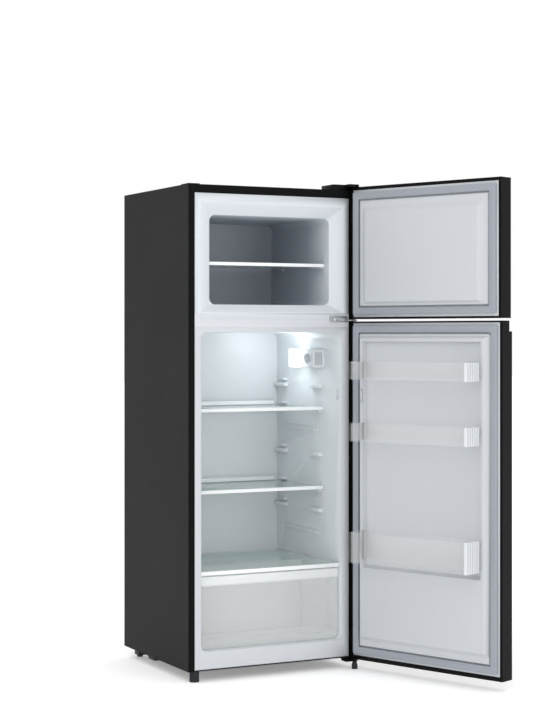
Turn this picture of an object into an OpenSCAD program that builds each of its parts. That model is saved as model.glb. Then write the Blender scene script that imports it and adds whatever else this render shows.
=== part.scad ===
// Two-door refrigerator with a freezer compartment on top, doors hinged on the right.
// Millimetres. X runs across, +Y runs to the back, +Z up. The origin is on the floor,
// on the cabinet's centreline, below its front flange.

/* [Cabinet] */
// Outside width of the cabinet
cabinet_w = 545; // [480:1:660]
// Depth of the cabinet, front flange to back panel
cabinet_d = 484; // [460:1:590]
// Height of the cabinet's top sheet above the floor
cabinet_top = 1428; // [1300:1:1720]
// Height of the cabinet's underside above the floor
foot_h = 32; // [28:1:39]
// Thickness of the painted steel sheet
sheet = 0.8; // [0.6:0.1:1.2]
// Width of the front flange at each side
flange_w = 20; // [14:1:24]
// Height of the front flange along the top
flange_top_h = 24.5; // [16:0.5:30]
// Height of the front flange along the bottom
flange_bottom_h = 4; // [3:0.5:8]
// Wall thickness of the plastic liners
liner_t = 1.5; // [1:0.1:2]

/* [Insulation] */
// Side wall of the refrigerator compartment
fridge_side = 40.5; // [34:0.5:50]
// Side wall of the freezer compartment
freezer_side = 75.5; // [62:0.5:92]
// Back wall of the refrigerator compartment
fridge_back_wall = 54; // [45:1:65]
// Back wall of the freezer compartment
freezer_back_wall = 84; // [70:1:100]
// Ceiling of the freezer compartment
ceiling = 85; // [70:1:102]
// Underside of the divider between the compartments
divider_z = 1003; // [900:1:1010]
// Thickness of the divider
divider_h = 81; // [76:1:97]
// Floor height of the refrigerator compartment
fridge_floor = 86; // [80:1:96]

/* [Openings] */
// Corner radius of the freezer opening
freezer_r = 18; // [12:1:22]
// Corner radius of the refrigerator opening
fridge_r = 20; // [12:1:24]
// Depth of the flared frame around the freezer opening
flare_d = 21.5; // [18:0.5:26]
// Width of the flare at each side
flare_side = 36; // [30:1:43]
// Height of the flare above the opening
flare_top = 33; // [28:1:40]
// Height of the flare below the opening
flare_bottom = 22; // [18:1:25]

/* [Compressor bay] */
// Depth of the bay, from the back
bay_d = 180; // [165:1:200]
// Height of the bay's ceiling above the floor
bay_top = 235; // [228:1:255]
// Insulation between the bay and the compartment
bay_wall = 50; // [42:1:60]

/* [Doors] */
// Thickness of each door
door_t = 50; // [44:1:58]
// Gap between the cabinet and the closed doors, filled by the gaskets
gasket_gap = 12; // [10:0.5:14]
// Gap between a door's edges and the cabinet's sides
door_side_gap = 3.5; // [3:0.1:4]
// Distance from the cabinet's side to the hinge line
hinge_inset = 10; // [9.5:0.1:11]
// Distance from the doors' inner face to the hinge line
hinge_depth = 6.5; // [6:0.1:7]
// Height of the middle hinge's arm
middle_hinge_z = 1038; // [1034:1:1040]
// Thickness of the hinge plates
hinge_t = 3; // [2.5:0.1:3.5]
// Gap between a hinge plate and a door
hinge_gap = 2; // [1.5:0.1:2.5]
// Radius of the hinge pins
pin_r = 3; // [2.6:0.1:3.3]
// Length of each hinge pin
pin_l = 14; // [11:1:15]
// Radial clearance of each running fit
running_fit = 0.05; // [0.02:0.01:0.08]
// Angle the freezer door stands open at
freezer_door_open = 110.8; // [0:0.1:125]
// Angle the refrigerator door stands open at
fridge_door_open = 111.5; // [0:0.1:125]
// Height of the shallow grip along the refrigerator door's top
grip_h = 30; // [24:1:34]
// Depth of the shallow grip
grip_d = 15; // [12:1:17]
// Height by which the freezer door stands above the cabinet
freezer_door_rise = 8; // [6:1:9]

/* [Door liners] */
// Margin beside the raised field of a door liner
field_margin = 36; // [34:1:40]
// Margin above and below the raised field
field_margin_z = 30; // [29:1:34]
// Height of the raised field's rim
field_d = 9; // [7:0.5:10]
// Height of the dykes that hold the bins
dyke_d = 22; // [18:1:24]
// Width of a dyke's crown
dyke_w = 8; // [6:1:12]
// Depth of the step in the liner that carries the gasket
lip_w = 8; // [6:0.5:10]
// Width of the gaskets
gasket_w = 21; // [16:1:22]
// Height of the panel on the freezer door
plug_d = 20; // [16:1:22]

/* [Shelves] */
// Thickness of the glass panes
glass_t = 4; // [3.2:0.1:4.8]
// Underside of the upper shelf's glass
upper_shelf_z = 771; // [750:1:790]
// Underside of the lower shelf's glass
lower_shelf_z = 530; // [500:1:550]
// Underside of the freezer shelf's glass
freezer_shelf_z = 1202; // [1180:1:1240]
// Distance from the cabinet's front to the refrigerator shelves
shelf_front = 113; // [108:1:150]
// Distance from the cabinet's front to the freezer shelf
freezer_shelf_front = 44; // [36:1:70]
// Gap between a shelf and each wall
shelf_gap = 3; // [2:0.5:4]
// Reach of the moulded shelf lugs
lug_w = 12; // [10:1:14]

/* [Crisper] */
// Underside of the crisper cover's frame
cover_z = 302; // [292:1:304]
// Distance from the cabinet's front to the crisper cover
cover_front = 18; // [17:1:24]
// Height of the crisper cover's front bar
cover_bar_h = 11; // [11:1:16]
// Wall of the crisper drawer
drawer_wall = 2.2; // [1.8:0.1:2.8]
// Gap around the crisper drawer
drawer_gap = 4; // [3:0.5:5]
// Corner radius of the crisper drawer
drawer_r = 22; // [16:1:26]

/* [Door bins] */
// Depth of the door bins
bin_d = 92; // [78:1:94]
// Wall of the door bins
bin_wall = 2; // [1.6:0.1:2.4]
// Width of the door bins
bin_w = 418; // [350:1:418]
// Thickness of a bin's end pieces
bin_end_t = 8.7; // [7:0.1:10]
// Underside of the upper bin
upper_bin_z = 866; // [850:1:880]
// Underside of the middle bin
middle_bin_z = 686; // [665:1:700]
// Underside of the lower bin
lower_bin_z = 331; // [326:1:345]
// Height of the upper and middle bins
bin_h = 52; // [45:1:62]
// Height of the lower bin
lower_bin_h = 89; // [75:1:106]

/* [Thermostat and lamp] */
// Reach of the thermostat housing from the side wall
box_w = 32; // [28:1:37]
// Length of the thermostat housing
box_l = 174; // [150:1:200]
// Height of the thermostat housing
box_h = 56; // [48:1:62]
// Distance from the cabinet's front to the housing
box_front = 112; // [108:1:130]
// Height of the housing's middle
box_z = 924; // [915:1:940]
// Radius of the thermostat knob
knob_r = 15.5; // [13:0.5:18]
// Travel of the light switch
switch_travel = 4; // [3:0.5:5]

/* [Feet and rollers] */
// Radius of the left levelling foot
foot_r = 14; // [12:0.5:16]
// Radius of the right levelling foot
right_foot_r = 9; // [8:0.5:10]
// Radius of the rear rollers
roller_r = 14; // [12:0.5:15]

/* [Hidden] */
$fn = 48;
slip = 0.1;
half_w = cabinet_w / 2;
inner_w = half_w - sheet;
fridge_w = half_w - fridge_side;
freezer_w = half_w - freezer_side;
fridge_back = cabinet_d - fridge_back_wall;
freezer_back = cabinet_d - freezer_back_wall;
freezer_floor = divider_z + divider_h;
freezer_top = cabinet_top - ceiling;
frame_w = half_w - flange_w;
frame_top = cabinet_top - flange_top_h;
frame_bottom = foot_h + flange_bottom_h;
bay_front = cabinet_d - bay_d;
// the step in the compartment's back, over the compressor bay
step_front = bay_front - bay_wall;
step_top = bay_top + bay_wall;
step_lean = 35;
cover_strip_z0 = divider_z + 16;
cover_strip_z1 = freezer_floor - flare_bottom - 5;

hinge_x = half_w - hinge_inset;
hinge_y = -gasket_gap - hinge_depth;
door_w = half_w - door_side_gap;
door_back = -gasket_gap;
door_front = door_back - door_t;
freezer_door_z0 = middle_hinge_z + hinge_t + hinge_gap;
freezer_door_z1 = cabinet_top + freezer_door_rise;
fridge_door_z0 = foot_h - hinge_gap;
fridge_door_z1 = middle_hinge_z - hinge_gap;
top_hinge_z = freezer_door_z1 + hinge_gap;
low_hinge_z = fridge_door_z0 - hinge_gap - hinge_t - 1;
freezer_caps = [6, 10];
fridge_caps = [13, 5];
edge_r = 2.5;
bush_r = 4;
bush_l = 13;
socket = 16;
liner_in = 1.5;

// the panel's sides at its foot; it stays inside the cabinet's opening when closed
plug_x0 = fridge_w + 2;
dyke_slope = 15;
recess_d = 3;
recess_w = plug_x0 - dyke_slope - dyke_w;
recess_z0 = lower_bin_z - 22;
recess_z1 = divider_z - 26;
shelf_levels = [845, upper_shelf_z, 636, lower_shelf_z, 466];
rib_levels = [387, 402, 702, 717];
knob_y = box_front + 56;
lamp_y = box_front + 95;
box_end = box_front + box_l;
switch_y = 27;
switch_z = 817;
foot_x = frame_w - 7.5;
foot_y = 20;
stud_r = 4;
roller_y = cabinet_d - 34;
roller_w = 14;
roller_x = half_w - 38;
axle_r = 3;
plate_z = 38;
compressor_x = 95;
compressor_y = cabinet_d - 92;
compressor_r = 68;
compressor_h = 150;
compressor_z = plate_z + 16;
tray_z = compressor_z + compressor_h;
drain_x = compressor_x - 35;
drain_y = fridge_back - 14;

gland_x = -190;
drier_x = -70;
drier_y = cabinet_d - 60;
drier_z = plate_z + 36;
plug_x = [-frame_w + 21, -frame_w + 48];
plug_z = middle_hinge_z + 6;
plug_r = 3.5;
middle_screws = [hinge_x - 58];
top_screws = [[hinge_x - 46, 24], [hinge_x - 46, 54], [hinge_x - 14, 54]];
cover_top = top_hinge_z + hinge_t + 3.5;
grip_z = fridge_door_z1 - grip_h;
bins = [[upper_bin_z, bin_h], [middle_bin_z, bin_h], [lower_bin_z, lower_bin_h]];
hook_w = 5;
// the bins stay between the dykes whatever the walls measure
bin_half = min(bin_w / 2, recess_w - 2);
tail_y = door_back + recess_d + 1.5;
bin_y0 = door_back + dyke_d + 4;
bin_y1 = tail_y + bin_d;
hook_y = tail_y + 5;
shelf_w = fridge_w - shelf_gap;
freezer_shelf_w = freezer_w - shelf_gap;
shelf_y = [shelf_front + 2, fridge_back - 14];
freezer_shelf_y = [freezer_shelf_front + 2, freezer_back - 40];
drawer_w = fridge_w - drawer_gap;
drawer_y = [cover_front + 4, step_front - 5];
drawer_z = [fridge_floor + 1, cover_z - 4];

// ---- shapes used by several pieces ----

module box(x, y, z) {
    translate([x[0], y[0], z[0]]) cube([x[1] - x[0], y[1] - y[0], z[1] - z[0]]);
}

module rounded(x, z, r) {
    translate([x[0] + r, z[0]]) square([x[1] - x[0] - 2 * r, z[1] - z[0]]);
    translate([x[0], z[0] + r]) square([x[1] - x[0], z[1] - z[0] - 2 * r]);
    for (u = [x[0] + r, x[1] - r], v = [z[0] + r, z[1] - r]) translate([u, v]) circle(r);
}

// extrudes an outline drawn in X and Z along Y
module along_y(y) {
    translate([0, y[1], 0]) rotate([90, 0, 0]) linear_extrude(y[1] - y[0]) children();
}

// extrudes an outline drawn in Y and Z along X
module along_x(x) {
    translate([x[0], 0, 0]) rotate([90, 0, 90]) linear_extrude(x[1] - x[0]) children();
}

module along_z(z) {
    translate([0, 0, z[0]]) linear_extrude(z[1] - z[0]) children();
}

// a block whose four sides slope inwards from y[0] to y[1]
module frustum(x, y, z, inset_x, inset_z) {
    intersection() {
        along_z(z) polygon([[x[0], y[0]], [x[1], y[0]],
            [x[1] - inset_x[1], y[1]], [x[0] + inset_x[0], y[1]]]);
        along_x(x) polygon([[y[0], z[0]], [y[0], z[1]],
            [y[1], z[1] - inset_z[1]], [y[1], z[0] + inset_z[0]]]);
    }
}

module mirrored() {
    children();
    mirror([1, 0, 0]) children();
}

module rod(from, to, r) {
    d = to - from;
    l = norm(d);
    translate(from) rotate([0, acos(d[2] / l), atan2(d[1], d[0])]) cylinder(h = l, r = r);
}

// a tube or rod that turns at each point, in a brazed elbow
module pipe(points, r) {
    for (i = [0 : len(points) - 2]) rod(points[i], points[i + 1], r);
    for (i = [1 : len(points) - 2]) translate(points[i]) sphere(r * 1.2);
}

// ---- cabinet ----

module outer_shell() {
    color([0.22, 0.22, 0.22]) difference() {
        box([-half_w, half_w], [0, cabinet_d], [foot_h, cabinet_top]);
        box([-inner_w, inner_w], [sheet, cabinet_d + 1], [foot_h - 1, cabinet_top - sheet]);
        box([-frame_w, frame_w], [-1, 2], [foot_h - 1, frame_top]);
    }
}

module back_panel() {
    color([0.3, 0.3, 0.31]) box([-inner_w, inner_w], [cabinet_d - sheet, cabinet_d],
        [bay_top, cabinet_top - sheet]);
}

// the sheet under the cabinet, folded up around the compressor bay
module base_pan() {
    color([0.08, 0.08, 0.08]) difference() {
        union() {
            box([-inner_w, inner_w], [sheet, bay_front + sheet], [foot_h, foot_h + sheet]);
            box([-frame_w, frame_w], [0, sheet], [foot_h, frame_bottom]);
            box([-inner_w, inner_w], [bay_front, bay_front + sheet], [foot_h, bay_top]);
            box([-inner_w, inner_w], [bay_front, cabinet_d], [bay_top - sheet, bay_top]);
        }
        translate([-foot_x, foot_y, 0]) cylinder(h = foot_h + 5, r = stud_r + running_fit);
        translate([drain_x, drain_y, bay_top - 5]) cylinder(h = 10, r = 8);
    }
}

module fridge_cavity(grow) {
    difference() {
        along_y([-1, fridge_back + grow]) rounded([-fridge_w - grow, fridge_w + grow],
            [fridge_floor - grow, divider_z + grow], fridge_r + grow);
        along_x([-half_w, half_w]) polygon([[step_front + grow, 0],
            [step_front + grow, fridge_floor], [step_front + step_lean + grow, step_top - grow],
            [cabinet_d, step_top - grow], [cabinet_d, 0]]);
    }
}

module freezer_cavity(grow) {
    along_y([flare_d - 1, freezer_back + grow]) rounded([-freezer_w - grow, freezer_w + grow],
        [freezer_floor - grow, freezer_top + grow], freezer_r + grow);
    frustum([-freezer_w - flare_side - grow, freezer_w + flare_side + grow],
        [0, flare_d + grow], [freezer_floor - flare_bottom - grow, freezer_top + flare_top + grow],
        [flare_side, flare_side], [flare_bottom, flare_top]);
}

module cabinet_foam() {
    color([0.9, 0.85, 0.6]) difference() {
        box([-inner_w, inner_w], [liner_t, cabinet_d - sheet],
            [foot_h + sheet, cabinet_top - sheet]);
        fridge_cavity(liner_t);
        freezer_cavity(liner_t);
        box([-half_w, half_w], [bay_front, cabinet_d], [0, bay_top]);
        mirrored() box([inner_w - 5.5, half_w], [25, cabinet_d - 20], [400, cabinet_top - 50]);
        translate([drain_x, drain_y, bay_top - 5]) cylinder(h = bay_wall + 5, r = 8);
        translate([-foot_x, foot_y, 0]) cylinder(h = foot_h + 20, r = 9);
        switch_pocket();
        box([-half_w, half_w], [0, 12], [cover_strip_z0, cover_strip_z1]);
        box([hinge_x - 80, half_w], [0, 30], [middle_hinge_z - 8, middle_hinge_z + 16]);
        thermostat_pocket();
    }
}

module freezer_liner() {
    color([0.88, 0.9, 0.92]) difference() {
        union() {
            difference() {
                union() {
                    freezer_cavity(liner_t);
                    box([-frame_w, frame_w], [0, liner_t], [cover_strip_z1, frame_top]);
                }
                freezer_cavity(0);
                box([-half_w, half_w], [-2, 0], [0, cabinet_top]);
            }
            mirrored() for (y = [[freezer_shelf_front + 12, freezer_shelf_front + 70],
                [freezer_back - 90, freezer_back - 20]])
                box([freezer_w - lug_w + 2, freezer_w + 1], y,
                    [freezer_shelf_z - slip - 7, freezer_shelf_z - slip]);
        }
        box([-half_w, half_w], [-2, 0], [0, cabinet_top]);
    }
}

module shelf_lugs() {
    mirrored() for (z = shelf_levels) {
        box([fridge_w - lug_w, fridge_w + 1], [shelf_front + 14, shelf_front + 76],
            [z - slip - 11, z - slip]);
        box([fridge_w - lug_w, fridge_w + 1], [fridge_back - 75, fridge_back - 5],
            [z - slip - 11, z - slip]);
        box([fridge_w - lug_w, fridge_w + 1], [fridge_back - 70, fridge_back - 30],
            [z + glass_t + 4, z + glass_t + 10]);
    }
}

module wall_ribs() {
    mirrored() for (z = rib_levels)
        box([fridge_w - 3, fridge_w + 1], [shelf_front + 43, fridge_back - 58], [z, z + 3]);
}

module cover_ledges() {
    mirrored() for (y = [[60, 200], [fridge_back - 110, fridge_back - 20]])
        box([fridge_w - lug_w, fridge_w + 1], y, [cover_z - 3, cover_z + 6 - slip]);
}

module fridge_liner() {
    color([0.9, 0.93, 0.95]) difference() {
        union() {
            difference() {
                union() {
                    fridge_cavity(liner_t);
                    box([-frame_w, frame_w], [0, liner_t], [frame_bottom, cover_strip_z0]);
                }
                fridge_cavity(0);
                box([-half_w, half_w], [-2, 0], [0, cabinet_top]);
            }
            shelf_lugs();
            cover_ledges();
            wall_ribs();
        }
        translate([drain_x, drain_y, step_top - 5]) cylinder(h = 10, r = 6);
        switch_hole();
        thermostat_hole();
    }
}

// the white strip across the divider's front, with its two round plugs
module divider_strip() {
    color([0.84, 0.86, 0.89]) difference() {
        box([-frame_w, frame_w], [0, liner_t], [cover_strip_z0, cover_strip_z1]);
        for (x = plug_x) translate([x, -1, plug_z]) rotate([-90, 0, 0])
            cylinder(h = 10, r = plug_r);
        for (x = middle_screws) translate([x, -1, middle_hinge_z + 4]) rotate([-90, 0, 0])
            cylinder(h = 10, r = 2.2);
    }
    color([0.78, 0.8, 0.84]) for (x = plug_x) translate([x, -1, plug_z]) rotate([-90, 0, 0]) {
        cylinder(h = 1, r = plug_r + 1);
        cylinder(h = 7, r = plug_r - slip);
    }
}

module top_corner_cap() {
    color([0.08, 0.08, 0.08]) box([-half_w, -half_w + 36], [0, 52],
        [cabinet_top, cabinet_top + 2]);
}

// ---- cooling circuit ----

module compressor() {
    color([0.05, 0.05, 0.05]) translate([compressor_x, compressor_y, compressor_z]) {
        rotate_extrude($fn = 64) union() {
            square([compressor_r - 4, compressor_h - 34]);
            translate([0, 34]) square([compressor_r, compressor_h - 84]);
            translate([0, compressor_h - 50]) square([compressor_r - 6, 22]);
            translate([0, compressor_h - 28]) polygon([[0, 0], [compressor_r - 6, 0],
                [compressor_r - 22, 18], [compressor_r - 40, 28], [0, 28]]);
        }
        difference() {
            box([-88, 88], [-48, 48], [4, 7]);
            for (x = [-78, 78], y = [-38, 38]) translate([x, y, 0]) cylinder(h = 10, r = 6);
        }
    }
}

module compressor_grommets() {
    color([0.12, 0.12, 0.12]) for (x = [-78, 78], y = [-38, 38])
        translate([compressor_x + x, compressor_y + y, plate_z + 2]) difference() {
            union() {
                cylinder(h = compressor_z + 4 - plate_z - 2, r = 11);
                cylinder(h = compressor_z + 14 - plate_z, r = 6 - slip);
            }
            translate([0, 0, -1]) cylinder(h = 60, r = 3.2);
        }
}

module compressor_relay_cover() {
    color([0.1, 0.1, 0.1]) difference() {
        box([compressor_x - compressor_r - 30, compressor_x - compressor_r + 12],
            [compressor_y - 28, compressor_y + 28], [compressor_z + 50, compressor_z + 108]);
        translate([compressor_x, compressor_y, compressor_z - 5])
            cylinder(h = 200, r = compressor_r + slip, $fn = 64);
    }
}

// the plate that carries the compressor and the rear rollers
module compressor_plate() {
    color([0.07, 0.07, 0.07]) difference() {
        union() {
            box([-inner_w, inner_w], [bay_front + 8, cabinet_d - 4], [plate_z, plate_z + 2]);
            mirrored() box([inner_w - 2, inner_w], [bay_front + 8, cabinet_d - 4],
                [plate_z, plate_z + 26]);
            box([-inner_w, inner_w], [cabinet_d - 6, cabinet_d - 4], [plate_z, plate_z + 34]);
            mirrored() for (x = [-roller_w / 2 - 4, roller_w / 2 + 1.5])
                box([roller_x + x, roller_x + x + 2.5], [roller_y - 16, roller_y + 16],
                    [roller_r - 7, plate_z]);
            mirrored() translate([roller_x - roller_w / 2 - 5, roller_y, roller_r])
                rotate([0, 90, 0]) cylinder(h = roller_w + 10, r = axle_r);
            mirrored() box([roller_x - 14, roller_x + 8], [bay_front + 12, bay_front + 60],
                [10, plate_z]);
        }
        translate([gland_x, cabinet_d - 10, plate_z + 20]) rotate([-90, 0, 0])
            cylinder(h = 12, r = 7);
    }
}

module refrigerant_pipes() {
    c = [compressor_x, compressor_y];
    up = compressor_z + 70;
    top = bay_top - 3;
    reach = compressor_r + 12;
    side = inner_w - 20;
    color([0.72, 0.45, 0.2]) {
        // suction line, from the evaporator to the compressor
        pipe([[c[0], c[1] - reach, top], [c[0], c[1] - reach, up],
            [c[0], c[1] - compressor_r, up]], 4);
        // discharge line, from the compressor to the condenser
        pipe([[c[0] + compressor_r, c[1], up], [c[0] + reach + 10, c[1], up],
            [c[0] + reach + 10, c[1], up + 50], [side, c[1], up + 70],
            [side, c[1], top]], 2.5);
        // capillary, from the drier up into the insulation
        pipe([[drier_x, drier_y, drier_z + 95], [drier_x, drier_y, drier_z + 108],
            [drier_x + 40, drier_y, drier_z + 112], [drier_x + 40, drier_y, top]], 1.2);
        // condenser return, down into the drier
        pipe([[drier_x, drier_y, drier_z - 3], [drier_x, drier_y, drier_z - 14],
            [-side, drier_y, drier_z - 14], [-side, drier_y, top]], 2.5);
        translate([drier_x, drier_y, drier_z]) rotate_extrude() polygon([[0, -4], [3.5, -4],
            [3.5, 0], [9.5, 14], [9.5, 78], [3.5, 92], [3.5, 96], [0, 96]]);
    }
}

// serpentine condenser tubes behind each side sheet
module condenser_tubes() {
    x = inner_w - 2.8;
    r = 2.4;
    first = 420;
    pitch = 60;
    runs = floor((cabinet_top - 70 - first) / pitch) + 1;
    ya = 70;
    yb = cabinet_d - 64;
    color([0.6, 0.35, 0.2]) mirrored() {
        for (i = [0 : runs - 1]) translate([x, ya, first + i * pitch]) rotate([-90, 0, 0])
            cylinder(h = yb - ya, r = r);
        for (i = [0 : runs - 2]) translate([x, i % 2 == 0 ? yb : ya, first + (i + 0.5) * pitch])
            rotate([0, -90, 0]) rotate([0, 0, i % 2 == 0 ? 0 : 180])
                rotate_extrude(angle = 180) translate([pitch / 2, 0]) circle(r);
    }
}

module drip_tray() {
    color([0.1, 0.1, 0.1]) translate([compressor_x - 62, compressor_y - 56, tray_z])
        difference() {
            cube([124, 112, 14]);
            translate([2, 2, 2]) cube([120, 108, 14]);
        }
}

module drain_tube() {
    color([0.15, 0.15, 0.15]) difference() {
        translate([drain_x, drain_y, tray_z + 10])
            cylinder(h = step_top - liner_t - tray_z - 10, r = 8 - slip);
        translate([drain_x, drain_y, tray_z]) cylinder(h = 100, r = 6);
    }
}

module rear_spacers() {
    color([0.06, 0.06, 0.06]) mirrored() for (z = [bay_top + 60, cabinet_top - 90])
        box([150, 190], [cabinet_d, cabinet_d + 10], [z, z + 22]);
}

module cord_gland() {
    color([0.06, 0.06, 0.06]) translate([gland_x, cabinet_d - 14, plate_z + 20])
        rotate([-90, 0, 0]) difference() {
            union() {
                cylinder(h = 18, r = 7 - slip);
                translate([0, 0, 10]) cylinder(h = 6, r = 10);
                translate([0, 0, 5]) cylinder(h = 3, r = 10);
            }
            translate([0, 0, -1]) cylinder(h = 30, r = 3.6);
        }
}

// ---- thermostat, lamp and light switch ----

module thermostat_pocket() {
    box([fridge_w, fridge_w + 14], [box_front + 8, box_end - 8],
        [box_z - box_h / 2 + 8, box_z + box_h / 2 - 8]);
}

module thermostat_hole() {
    box([fridge_w - 3, fridge_w + 5], [box_front + 8, box_end - 8],
        [box_z - box_h / 2 + 8, box_z + box_h / 2 - 8]);
}

module thermostat_housing() {
    x0 = fridge_w - box_w;
    slope = 17;
    color([0.9, 0.91, 0.92]) difference() {
        along_z([box_z - box_h / 2, box_z + box_h / 2]) polygon([[fridge_w, box_front],
            [x0, box_front + slope], [x0, lamp_y], [fridge_w, lamp_y]]);
        along_z([box_z - box_h / 2 + 2.5, box_z + box_h / 2 - 2.5]) polygon([
            [fridge_w + 3, box_front + 3], [x0 + 2.5, box_front + slope + 3],
            [x0 + 2.5, lamp_y - 2.5], [fridge_w + 3, lamp_y - 2.5]]);
        translate([x0 - 1, knob_y, box_z]) rotate([0, 90, 0])
            cylinder(h = 5, r = axle_r + 1);
        for (i = [0 : 4]) box([x0 + 7 + i * 4, x0 + 8.6 + i * 4],
            [box_front - 1, box_front + slope + 2],
            [box_z - box_h / 2 + 8, box_z + box_h / 2 - 8]);
    }
}

module thermostat_body() {
    x0 = fridge_w - box_w;
    color([0.6, 0.6, 0.62]) difference() {
        box([x0 + 6, fridge_w + 10], [knob_y - 18, knob_y + 18], [box_z - 16, box_z + 16]);
        translate([x0, knob_y, box_z]) rotate([0, 90, 0])
            cylinder(h = 20, r = axle_r + running_fit);
    }
}

module thermostat_knob() {
    x0 = fridge_w - box_w;
    color([0.82, 0.84, 0.86]) translate([x0 - 0.5, knob_y, box_z]) rotate([0, -90, 0]) {
        cylinder(h = 3, r = knob_r);
        cylinder(h = 9, r = knob_r - 3);
        translate([-3, -knob_r + 3, 3]) cube([6, 2 * knob_r - 6, 9]);
        translate([0, 0, -16]) cylinder(h = 17, r = axle_r);
    }
}

module lamp_cover() {
    x0 = fridge_w - box_w;
    color([0.97, 0.98, 1]) difference() {
        box([x0, fridge_w], [lamp_y, box_end], [box_z - box_h / 2, box_z + box_h / 2]);
        box([x0 + 2, fridge_w + 1], [lamp_y + 2, box_end - 2],
            [box_z - box_h / 2 + 2, box_z + box_h / 2 - 2]);
    }
}

module lamp_module() {
    color([1, 1, 0.95]) {
        box([fridge_w - 4, fridge_w + 8], [lamp_y + 12, box_end - 12], [box_z - 14, box_z + 14]);
        for (y = [lamp_y + 24, lamp_y + 40, lamp_y + 56])
            box([fridge_w - 6, fridge_w - 4], [y - 3, y + 3], [box_z - 3, box_z + 3]);
    }
}

module switch_pocket() {
    box([fridge_w, fridge_w + 22], [switch_y - 11, switch_y + 11], [switch_z - 16, switch_z + 16]);
}

module switch_hole() {
    box([fridge_w - 3, fridge_w + 5], [switch_y - 8, switch_y + 8],
        [switch_z - 13, switch_z + 13]);
}

module light_switch_housing() {
    color([0.86, 0.88, 0.9]) difference() {
        union() {
            box([fridge_w - 1, fridge_w], [switch_y - 11, switch_y + 11],
                [switch_z - 16, switch_z + 16]);
            box([fridge_w - 1, fridge_w + 18], [switch_y - 8, switch_y + 8],
                [switch_z - 13, switch_z + 13]);
        }
        translate([fridge_w - 5, switch_y, switch_z]) rotate([0, 90, 0])
            cylinder(h = 20, r = 4 + running_fit);
    }
}

module light_switch_plunger() {
    color([0.92, 0.93, 0.94]) translate([fridge_w - 3 - switch_travel, switch_y, switch_z])
        rotate([0, 90, 0]) cylinder(h = 12 + switch_travel, r = 4);
}

// ---- hinges ----

module top_hinge() {
    arm_x = [hinge_x - 18, hinge_x + 7];
    color([0.55, 0.56, 0.58]) {
        difference() {
            union() {
                box([hinge_x - 56, hinge_x + 4], [10, 66], [cabinet_top, cabinet_top + hinge_t]);
                box(arm_x, [10, 10 + hinge_t], [cabinet_top, top_hinge_z + hinge_t]);
                box(arm_x, [hinge_y - 7, 10 + hinge_t], [top_hinge_z, top_hinge_z + hinge_t]);
            }
            for (p = top_screws) translate([p[0], p[1], cabinet_top - 5])
                cylinder(h = 20, r = 2.6);
        }
        translate([hinge_x, hinge_y, top_hinge_z - pin_l]) cylinder(h = pin_l + 1, r = pin_r);
    }
}

module top_hinge_cover() {
    x = [hinge_x - 62, half_w - 0.5];
    y = [hinge_y - 10, 74];
    color([0.05, 0.05, 0.05]) difference() {
        union() {
            box(x, [0.5, y[1]], [cabinet_top, cover_top]);
            box([hinge_x - 24, x[1]], [y[0], 1], [freezer_door_z1 + 1, cover_top]);
        }
        box([x[0] + 2, x[1] - 2], [2.5, y[1] - 2], [cabinet_top - 1, cover_top - 2]);
        box([hinge_x - 22, x[1] - 0.4], [y[0] + 2, 4], [cabinet_top - 1, cover_top - 2]);
    }
}

module middle_hinge() {
    color([0.78, 0.8, 0.82]) {
        difference() {
            box([hinge_x - 75, hinge_x - 16], [-2.5, 0],
                [middle_hinge_z - 4, middle_hinge_z + 14]);
            for (x = middle_screws) translate([x, -4, middle_hinge_z + 4]) rotate([-90, 0, 0])
                cylinder(h = 10, r = 2.2);
        }
        box([hinge_x - 24, hinge_x + 6], [hinge_y - 6, 0],
            [middle_hinge_z, middle_hinge_z + hinge_t]);
        translate([hinge_x, hinge_y, middle_hinge_z - pin_l])
            cylinder(h = 2 * pin_l + hinge_t, r = pin_r);
    }
}

module lower_hinge() {
    z = low_hinge_z;
    color([0.12, 0.12, 0.12]) {
        difference() {
            union() {
                box([hinge_x - 34, hinge_x + 7], [hinge_y - 9, 3], [z, z + hinge_t]);
                box([hinge_x - 34, hinge_x + 7], [0, 3], [z, foot_h]);
                box([hinge_x - 34, hinge_x + 7], [0, 56], [foot_h - hinge_t, foot_h]);
            }
            translate([hinge_x, hinge_y, z - 1]) cylinder(h = hinge_t, r = stud_r + running_fit);
            for (y = [26, 46]) translate([hinge_x - 16, y, 0])
                cylinder(h = foot_h + 1, r = 2.6);
        }
        translate([hinge_x, hinge_y, z + hinge_t - 1]) cylinder(h = pin_l + 1, r = pin_r);
    }
}

module screw(head_r, shank_r, length) {
    cylinder(h = 2, r = head_r);
    translate([0, 0, 1]) cylinder(h = length, r = shank_r);
}

// screws that hold the three hinges
module hinge_screws() {
    color([0.7, 0.71, 0.73]) {
        for (p = top_screws) translate([p[0], p[1], cabinet_top + hinge_t + 2])
            rotate([180, 0, 0]) screw(4.5, 2.2, 3.9);
        for (x = middle_screws) translate([x, -4.5, middle_hinge_z + 4]) rotate([-90, 0, 0])
            screw(4.5, 1.9, 10);
        for (y = [26, 46]) translate([hinge_x - 16, y, foot_h - hinge_t - 2])
            screw(4.5, 2.2, 3.8);
    }
}

// ---- feet and rollers ----

module left_levelling_foot() {
    ribs = 16;
    color([0.07, 0.08, 0.1]) translate([-foot_x, foot_y, 0]) {
        cylinder(h = foot_h - 0.5, r = foot_r - 1);
        for (i = [0 : ribs - 1]) rotate([0, 0, i * 360 / ribs])
            translate([foot_r - 1, 0, 0]) cylinder(h = foot_h - 1.5, r = 1, $fn = 16);
        cylinder(h = foot_h + 14, r = stud_r);
    }
}

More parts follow.
